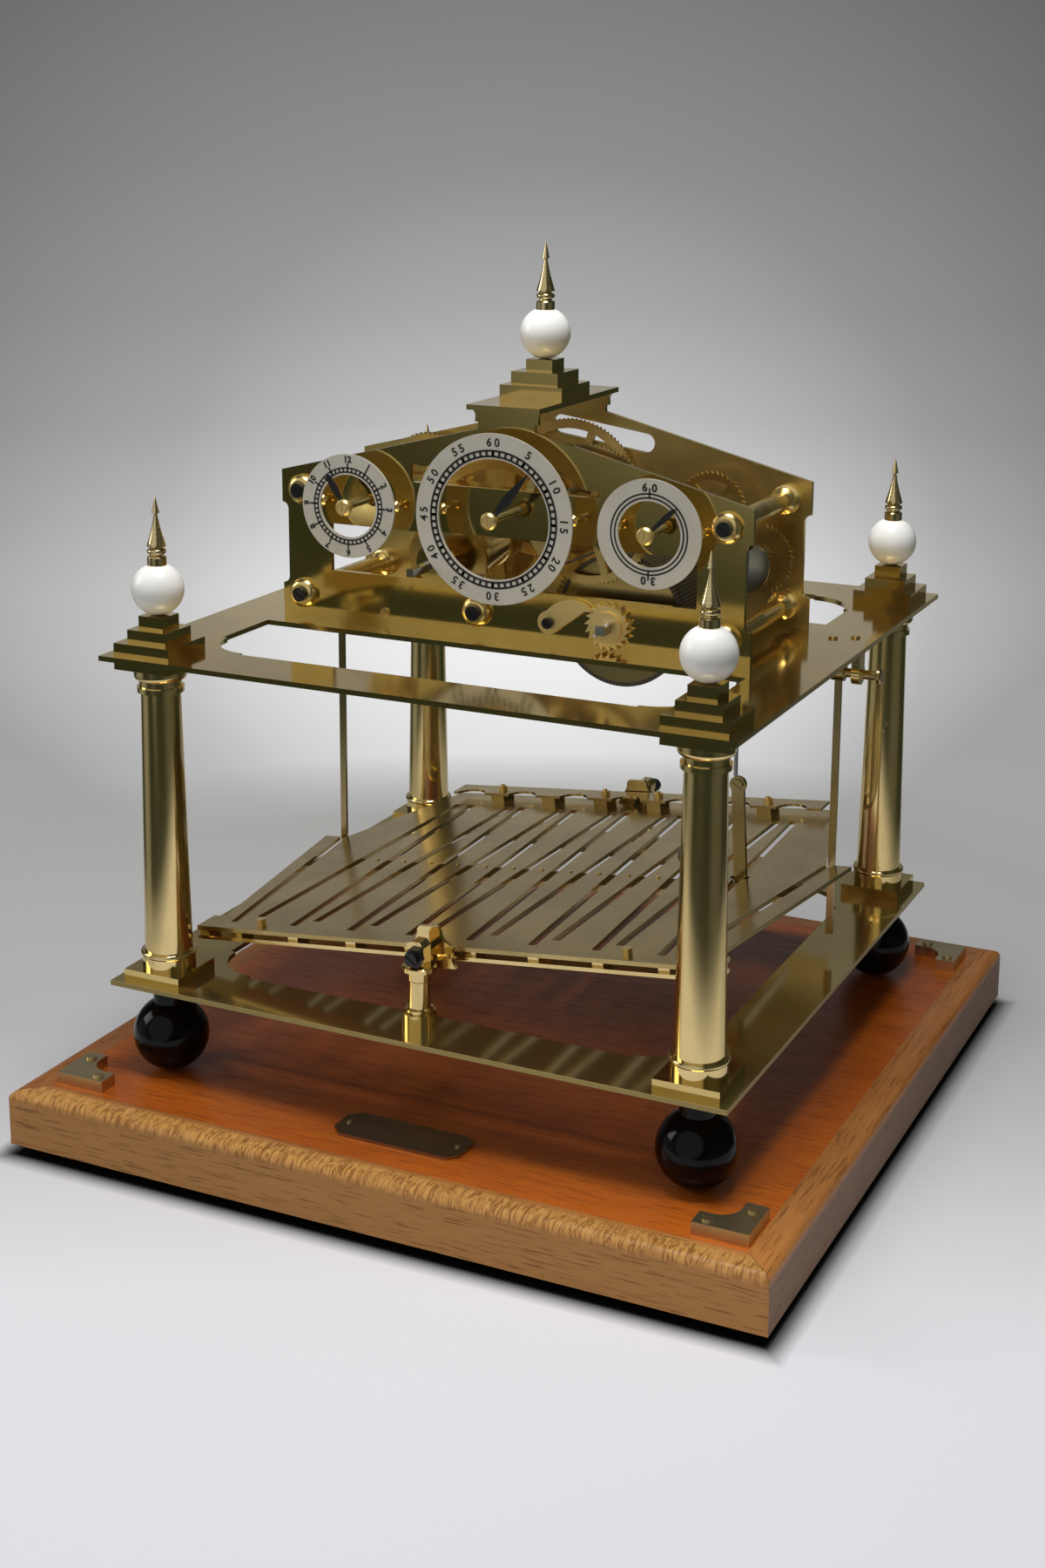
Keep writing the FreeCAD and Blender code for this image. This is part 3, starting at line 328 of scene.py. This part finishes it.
finishes = {
    "plate": brass("plateBrass", (0.68, 0.51, 0.195), (0.52, 0.385, 0.14), 0.07,
                   brushed=0.003, direction=(1, 8, 8)),
    "lowerPlate": brass("lowerPlateBrass", (0.66, 0.51, 0.20), (0.50, 0.385, 0.145), 0.09,
                        brushed=0.004, direction=(1, 8, 8), metallic=0.94,
                        top=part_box("lower_plate")[1].z),
    "rods": brass("rodBrass", (0.46, 0.36, 0.17), (0.33, 0.255, 0.115), 0.18),
    "polished": brass("polishedBrass", (0.80, 0.62, 0.29), (0.66, 0.50, 0.21), 0.09,
                      direction=(8, 8, 1)),
    "movement": brass("movementBrass", (0.68, 0.52, 0.19), (0.52, 0.39, 0.13), 0.065,
                      brushed=0.003, direction=(1, 8, 8)),
    "backPlate": brass("backPlateBrass", (0.68, 0.52, 0.19), (0.52, 0.39, 0.13), 0.20,
                       brushed=0.004, direction=(1, 8, 8), metallic=0.85),
    "gold": brass("turnedBrass", (0.88, 0.66, 0.27), (0.76, 0.55, 0.21), 0.21),
    "click": brass("clickBrass", (0.95, 0.73, 0.32), (0.84, 0.62, 0.26), 0.34),
    "tray": brass("trayBrass", (0.56, 0.42, 0.175), (0.39, 0.29, 0.115), 0.19,
                  brushed=0.008, direction=(8, 1, 8), cloud=30.0),
    "aged": brass("agedBrass", (0.66, 0.54, 0.31), (0.42, 0.335, 0.19), 0.30, brushed=0.02),
    "turned": turnedBrass("turnedSatinBrass", (0.86, 0.69, 0.38), (0.60, 0.47, 0.23), 0.13),
    "chainSteel": steel("chainSteel", (0.30, 0.27, 0.22), 0.35),
    "steel": steel("polishedSteel", (0.62, 0.61, 0.58), 0.16),
    "mirrorBall": steel("ballSteel", (0.80, 0.80, 0.80), 0.05),
    "blued": plainPaint("bluedSteel", (0.010, 0.010, 0.013), 0.28),
    "ink": plainPaint("dialInk", (0.015, 0.014, 0.013), 0.5),
    "ivory": ivory("ivoryBall", (0.985, 0.97, 0.95), (0.94, 0.91, 0.85), 0.22),
    "ebony": plainPaint("ebonyFoot", (0.004, 0.003, 0.003), 0.08, specular=0.16),
    "silvered": silvered("silveredBrass", (0.74, 0.70, 0.62), (0.62, 0.57, 0.49), 0.42),
    "bronze": brass("plaqueBronze", (0.38, 0.31, 0.205), (0.25, 0.20, 0.13), 0.17,
                    brushed=0.01, direction=(1, 8, 8), cloud=60.0),
    "border": frameWood("baseBorderWood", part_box("base_frame")[1], borderLook),
    "panel": panelWood("basePanelWood", (0.46, 0.112, 0.011), (0.37, 0.079, 0.008),
                       (0.24, 0.044, 0.005)),
    "barrel": barrelBrass("barrelWithChain", *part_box("barrel"), drumLook),
    "screws": screwSteel("screwSteel", screwLook),
    "fusee": fuseeBrass("fuseeBrass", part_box("movement_front_plate")[0].y, coneLook),
}

nodeFinish = {
    "border": ["base_frame"], "panel": ["base_panel"], "bronze": ["name_plate"],
    "ebony": ["foot_balls"], "ivory": ["finial_balls"], "mirrorBall": ["rolling_ball"],
    "aged": ["cover_brackets", "base_screws", "tray_cross_bar"],
    "lowerPlate": ["lower_plate"],
    "plate": ["upper_plate", "column_blocks", "stepped_blocks", "roof_cap"],
    "polished": ["column_shafts", "finial_spires", "pivot_posts", "tray_front_rail",
                 "tray_brackets", "trip_brackets"],
    "movement": ["movement_front_plate", "bridge_bar"],
    "backPlate": ["movement_back_plate"],
    "gold": ["movement_pillars", "pillar_washers", "dial_posts", "fusee_wheels", "minute_wheel",
             "hour_wheel", "seconds_wheel", "idler_wheel", "crank_wheel", "tray_nuts"],
    "click": ["click", "click_wheel", "hour_collet", "minute_collet", "seconds_collet"],
    "tray": ["tray_sheet", "tray_back_guard"],
    "rods": ["link_strap", "trip_arbor"],
    "steel": ["minute_arbor", "hour_arbor", "seconds_arbor", "idler_arbor", "crank_arbor",
              "barrel_arbor", "link_rod"],
    "silvered": ["hour_ring", "minute_ring", "seconds_ring"],
    "blued": ["hour_hand", "minute_hand", "seconds_hand", "pivot_screws"],
    "screws": ["movement_screws"], "barrel": ["barrel"], "fusee": ["fusee"],
    "chainSteel": ["chain"],
}
for finishName, nodeNames in nodeFinish.items():
    for nodeName in nodeNames:
        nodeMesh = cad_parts[nodeName].data
        nodeMesh.materials.clear()
        nodeMesh.materials.append(finishes[finishName])
print("finishes set on", sum(len(names) for names in nodeFinish.values()), "nodes")


def addObject(name, data):
    made = bpy.data.objects.new(name, data)
    bpy.context.scene.collection.objects.link(made)
    return made


def meshFrom(name, bm, material):
    mesh = bpy.data.meshes.new(name)
    bm.to_mesh(mesh)
    bm.free()
    mesh.materials.append(material)
    return mesh


sortAlong = Vector((0.7548, 0.5698, 0.3247))  # slanting, so that no two corners tie
manyCorners = 100000  # more than any piece here has


def settleOrder(bm):
    # spin and extrude number corners and faces differently from run to run
    bm.verts.sort(key=lambda corner: corner.co.dot(sortAlong))
    bm.verts.index_update()

    def rank(face):
        first, second, third = sorted(corner.index for corner in face.verts)[:3]
        return float((first * manyCorners + second) * manyCorners + third)

    bm.faces.sort(key=rank)


def makePiece(name, bm, finish, body):
    bmesh.ops.recalc_face_normals(bm, faces=bm.faces)
    settleOrder(bm)
    piece = addObject(name, meshFrom(name, bm, finishes[finish]))
    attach(piece, body)
    return piece


def turn(degrees, axis):
    return Matrix.Rotation(math.radians(degrees), 4, axis)


inkThick = 0.00008  # the dials' printing stands this far in front of the rings
fontPerHeight = 1.38  # font size for a numeral one unit tall

# in millimetres; lines as outer and inner radius, track and ticks as start, end, count and width
dialPrint = {
    "hour": {"lines": [(18.65, 17.95), (16.65, 15.95)], "track": (16.2, 18.4, 48, 0.85),
             "ticks": (16.2, 20.6, 12, 0.8), "numerals": [str(n) for n in range(1, 13)],
             "radius": 22.2, "height": 3.0, "spacing": 1.0, "heavy": 0.20},
    "minute": {"lines": [(32.4, 31.4), (29.8, 28.8)], "track": (29.3, 31.8, 60, 1.25),
               "ticks": (29.3, 31.8, 12, 1.4), "numerals": [str(n) for n in range(5, 65, 5)],
               "radius": 35.5, "height": 3.9, "spacing": 1.5, "heavy": 0.14},
    "seconds": {"lines": [(18.65, 17.85), (16.85, 16.05)], "track": None,
                "ticks": (16.2, 20.8, 2, 0.8), "numerals": ["3 0", "6 0"],
                "radius": 20.8, "height": 3.6, "spacing": 1.15, "heavy": 0.20},
}


def ringInto(bm, front, outer, inner):
    # flat ring facing the front, thickened backwards
    loops = []
    facing = Matrix.Translation(front) @ turn(90, "X")
    for radius in (outer, inner):
        made = bmesh.ops.create_circle(bm, cap_ends=False, segments=96, radius=radius * mm,
                                       matrix=facing)
        loops += list({e for v in made["verts"] for e in v.link_edges})
    faces = bmesh.ops.bridge_loops(bm, edges=loops)["faces"]
    out = bmesh.ops.extrude_face_region(bm, geom=faces)
    moved = [v for v in out["geom"] if isinstance(v, bmesh.types.BMVert)]
    bmesh.ops.translate(bm, verts=moved, vec=(0, inkThick, 0))


def dialPlace(front, degrees, radius):  # degrees are clockwise from the top
    middle = front + Vector((0, inkThick / 2, 0))
    return Matrix.Translation(middle) @ turn(degrees, "Y") @ Matrix.Translation((0, 0, radius))


def ticksInto(bm, front, start, end, count, width):
    # small bars pointing away from the dial's middle
    size = Matrix.Diagonal((width * mm, inkThick, (end - start) * mm, 1))
    for i in range(count):
        place = dialPlace(front, i * 360 / count, (start + end) / 2 * mm)
        bmesh.ops.create_cube(bm, size=1.0, matrix=place @ size)


def textInto(bm, front, words, degrees, look):
    # numeral whose top points outwards
    curve = bpy.data.curves.new("numeral", "FONT")
    curve.body, curve.size = words, look["height"] * mm * fontPerHeight
    curve.extrude, curve.offset = inkThick / 2, look["heavy"] * mm
    curve.align_x, curve.align_y, curve.space_character = "CENTER", "CENTER", look["spacing"]
    curve.resolution_u = 3
    holder = addObject("numeral", curve)
    evaluated = holder.evaluated_get(bpy.context.evaluated_depsgraph_get())
    mesh = bpy.data.meshes.new_from_object(evaluated)
    mesh.transform(dialPlace(front, degrees, look["radius"] * mm) @ turn(90, "X"))
    bm.from_mesh(mesh)
    bpy.data.objects.remove(holder)
    bpy.data.curves.remove(curve)
    bpy.data.meshes.remove(mesh)


def printDial(name, look):
    low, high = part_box(name + "_ring")
    front = Vector(((low.x + high.x) / 2, low.y - inkThick, (low.z + high.z) / 2))
    bm = bmesh.new()
    for outer, inner in look["lines"]:
        ringInto(bm, front, outer, inner)
    for marks in (look["track"], look["ticks"]):
        if marks:
            ticksInto(bm, front, *marks)
    for i, words in enumerate(look["numerals"], 1):
        textInto(bm, front, words, i * 360 / len(look["numerals"]), look)
    makePiece(name + "DialPrint", bm, "ink", "clock_frame")


for dialName, dialLook in dialPrint.items():
    printDial(dialName, dialLook)
print("dials printed")


# in millimetres; a link is long, wide and thick, and its plates lie apart or close by turns
chainLook = {"pitch": 2.35, "link": (1.75, 0.62, 0.55), "apart": 0.75, "close": 0.22,
             "inset": 1.2, "segments": 10}


def buildChain(look):
    # the run between fusee and barrel, link by link
    low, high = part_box("chain")
    middleY = (low.y + high.y) / 2
    start, end = Vector((low.x, middleY, low.z)), Vector((high.x, middleY, high.z))
    inset = (end - start).normalized() * look["inset"] * mm
    start, end = start + inset, end - inset
    run = end - start
    count = int(run.length / (look["pitch"] * mm))
    lean = Matrix.Rotation(-math.atan2(run.z, run.x), 4, "Y")
    long, wide, thick = look["link"]
    size = Matrix.Diagonal((long * mm, wide * mm, thick / 2 * mm, 1))
    bm = bmesh.new()
    for i in range(count):
        middle = start + run * ((i + 0.5) / count)
        side = look["apart"] if i % 2 else look["close"]
        for y in (-side * mm, side * mm):
            place = Matrix.Translation(middle + Vector((0, y, 0))) @ lean @ turn(90, "X")
            bmesh.ops.create_cone(bm, cap_ends=True, segments=look["segments"], radius1=1.0,
                                  radius2=1.0, depth=1.0, matrix=place @ size)
    piece = makePiece("chainLinks", bm, "chainSteel", "clock_frame")
    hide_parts("chain")


buildChain(chainLook)
print("chain built")


spireLook = {  # profile as radius and height in millimetres
    "profile": [(0, 0), (4.4, 0), (4.4, 3.7), (4.1, 4.1), (3.0, 4.4), (2.9, 4.9), (3.6, 5.2),
                (4.2, 5.7), (4.4, 6.4), (4.2, 7.1), (3.6, 7.6), (2.9, 7.9), (2.9, 8.4), (4.3, 8.7),
                (4.3, 9.1), (3.85, 10.6), (3.15, 12.9), (2.55, 14.9), (2.0, 17.2), (1.5, 19.4),
                (1.1, 21.6), (0.85, 23.2), (0.85, 23.6), (1.75, 23.9), (1.45, 25.3), (1.05, 27.2),
                (0.6, 29.4), (0.12, 31.15), (0, 31.2)],
    "base": 4.6, "tall": 31.2, "segments": 48, "weld": 0.00002, "sharp": 35,
}


def spireInto(bm, foot, look):
    verts = [bm.verts.new(foot + Vector((r, 0, h)) * mm) for r, h in look["profile"]]
    edges = [bm.edges.new(pair) for pair in zip(verts, verts[1:])]
    bmesh.ops.spin(bm, geom=verts + edges, cent=foot, axis=(0, 0, 1), angle=math.tau,
                   steps=look["segments"], use_merge=True)


def buildSpires(look):
    # four over the corner balls, and one over the roof's
    low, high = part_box("finial_spires")
    reach = look["base"] * mm
    feet = [Vector((x, y, low.z))
            for x in (low.x + reach, high.x - reach) for y in (low.y + reach, high.y - reach)]
    roofLow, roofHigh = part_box("roof_cap")
    roofMiddle = (roofLow + roofHigh) / 2
    feet.append(Vector((roofMiddle.x, roofMiddle.y, high.z - look["tall"] * mm)))
    bm = bmesh.new()
    for foot in feet:
        spireInto(bm, foot, look)
    bmesh.ops.remove_doubles(bm, verts=bm.verts, dist=look["weld"])
    piece = makePiece("turnedSpires", bm, "turned", "clock_frame")
    piece.data.shade_smooth()
    piece.data.set_sharp_from_angle(angle=math.radians(look["sharp"]))
    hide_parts("finial_spires")


buildSpires(spireLook)
print("spires turned")


floorLook = {
    "radius": 0.8, "drop": 0.0055, "fade": (0.56, 0.42),
    "away": (-0.435, 0.9), "depths": (-0.4, 0.6),  # level direction away from the viewer
    "paintedFalloffTones": [(0.0, 0.83), (1.0, 0.50), (0.10, 0.83), (0.19, 0.81), (0.25, 0.73), (0.31, 0.64),
              (0.37, 0.57), (0.46, 0.49), (0.60, 0.49)],
    "shadow": (0.01, 0.01, 0.01), "shadowEdge": (0.010, -0.002),  # painted shadow, reaching out from the base's sides
}


def makeFloor(look):
    # round pale table top with a painted falloff of light, darker at the far end, and a painted
    # shadow under and just round the base, fading into the backdrop
    g = newMaterial("paleFloor")
    x, y, z = g.axes()
    depth = y * look["away"][1] + x * look["away"][0]
    stops = [(at, (v, v * 0.99, v * (1.06 - at * 0.1))) for at, v in look["paintedFalloffTones"]]
    tone = g.node("ShaderNodeValToRGB", {"stops": stops}, {0: g.ramp(depth, *look["depths"])})
    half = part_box("base_frame")[1]
    outside = g.calc("MAXIMUM", abs(x) - half.x, abs(y) - half.y)
    # painted shadow: the floor turns near black at the base's edge
    tone = g.blend(g.ramp(outside, *look["shadowEdge"]), tone, rgba(look["shadow"]))
    reach = g.node("ShaderNodeVectorMath", {"operation": "LENGTH"}, {0: g.place}, "Value")
    material = g.surface({"Base Color": tone, "Roughness": 0.9, "Specular IOR Level": 0.0,
                          "Alpha": g.ramp(reach, *look["fade"])})
    bm = bmesh.new()
    bmesh.ops.create_circle(bm, cap_ends=True, segments=64, radius=look["radius"])
    floor = addObject("floor", meshFrom("floor", bm, material))
    floor.location = (0, 0, -look["drop"])


lampLook = {
    "overhead": {"place": (0.10, -0.22, 1.5), "target": (0, 0, 0.1), "size": 0.55, "power": 17.0},
    "leftPanel": {"place": (-1.3, -0.55, 0.75), "target": (0, 0, 0.2), "size": 0.6, "power": 4.0},
}


def makeLamp(name, look):
    lamp = bpy.data.lights.new(name, "AREA")
    lamp.shape, lamp.size, lamp.energy = "SQUARE", look["size"], look["power"]
    holder = addObject(name, lamp)
    holder.location = look["place"]
    holder.rotation_mode = "QUATERNION"
    aim = Vector(look["target"]) - Vector(look["place"])
    holder.rotation_quaternion = aim.to_track_quat("-Z", "Y")


# what the viewer sees behind the clock, and what the metal mirrors; each patch of light is
# azimuth clockwise from the back, elevation, half angles of its edge and its core, and strength
roomLook = {
    "backdrop": [(0.0, 0.395), (1.0, 0.20), (0.11, 0.395), (0.183, 0.366), (0.228, 0.354),
                 (0.261, 0.32), (0.30, 0.245), (0.344, 0.181), (0.40, 0.14), (0.472, 0.111),
                 (0.555, 0.09), (0.63, 0.15), (0.70, 0.34), (0.76, 0.36), (0.81, 0.26),
                 (0.87, 0.17)],
    "heights": (-0.45, 0.45),
    "glows": [(-26.3, -2.7, 18.4, 1.0, 1.455), (-24.7, -11.5, 10.2, 1.0, 0.638)],
    "veil": (-25.8, -6.0, 46.0, 30.0, 1.0),
    "shown": (0.30, 0.30, 0.30), "base": (0.032, 0.040, 0.028),
    "lobes": [(-112, -4, 30, 10, 0.24), (100, 0, 42, 14, 0.07), (-175, 27, 42, 34, 0.50)],
}


def patch(g, azimuth, elevation, edge, core, strength):
    a, e = math.radians(azimuth), math.radians(elevation)
    aim = (math.sin(a) * math.cos(e), math.cos(a) * math.cos(e), math.sin(e))
    near = g.node("ShaderNodeVectorMath", {"operation": "DOT_PRODUCT"}, {0: g.place, 1: aim},
                  "Value")
    return g.ramp(near, math.cos(math.radians(edge)), math.cos(math.radians(core))) * strength


def makeRoom(look):
    world = bpy.data.worlds.new("studio")
    bpy.context.scene.world = world
    g = Graph(world, "ShaderNodeOutputWorld", "Generated")
    stops = [(at, (v, v, v)) for at, v in look["backdrop"]]
    behind = g.node("ShaderNodeValToRGB", {"stops": stops},
                    {0: g.ramp(g.axes()[2], *look["heights"])})
    behind = behind * sum((patch(g, *glow) for glow in look["glows"]), 1.0)
    lamps = sum((patch(g, *lobe) for lobe in look["lobes"]), 0.0)
    around = g.node("ShaderNodeVectorMath", {"operation": "ADD"}, {0: lamps, 1: look["base"]})
    viewed = g.node("ShaderNodeLightPath", {}, {}, "Is Camera Ray")
    around = g.blend(viewed, around, rgba(look["shown"]))
    tone = g.blend(patch(g, *look["veil"]), around, behind)
    g.finish("ShaderNodeBackground", {"Color": tone, "Strength": 1.0})


cameraLook = {"place": (428.66, -925.13, 471.16), "yaw": -25.783, "pitch": -12.525, "roll": 0.254,
              "focalPixels": 2501.94, "middlePixel": (586.60, 677.85), "frameSize": (1200, 1800),
              "sensor": 36.0, "clip": (0.05, 60.0)}


def makeCamera(look):
    yaw, pitch, roll = (math.radians(look[k]) for k in ("yaw", "pitch", "roll"))
    ahead = Vector((math.sin(yaw) * math.cos(pitch), math.cos(yaw) * math.cos(pitch),
                    math.sin(pitch)))
    level = Vector((math.cos(yaw), -math.sin(yaw), 0))
    above = level.cross(ahead)
    right = level * math.cos(roll) + above * math.sin(roll)
    up = above * math.cos(roll) - level * math.sin(roll)
    data = bpy.data.cameras.new("camera")
    data.sensor_width, data.sensor_fit = look["sensor"], "AUTO"
    wide, tall = look["frameSize"]
    data.lens = look["focalPixels"] / tall * look["sensor"]
    data.shift_x = (wide / 2 - look["middlePixel"][0]) / tall
    data.shift_y = (look["middlePixel"][1] - tall / 2) / tall
    data.clip_start, data.clip_end = look["clip"]
    camera = addObject("camera", data)
    facing = Matrix((right, up, -ahead)).transposed().to_4x4()
    camera.matrix_world = Matrix.Translation(spot(*look["place"])) @ facing
    bpy.context.scene.camera = camera


makeFloor(floorLook)
for lampName, lamp in lampLook.items():
    makeLamp(lampName, lamp)
makeRoom(roomLook)
makeCamera(cameraLook)
bpy.context.scene.view_settings.view_transform = "Standard"
print("studio ready")
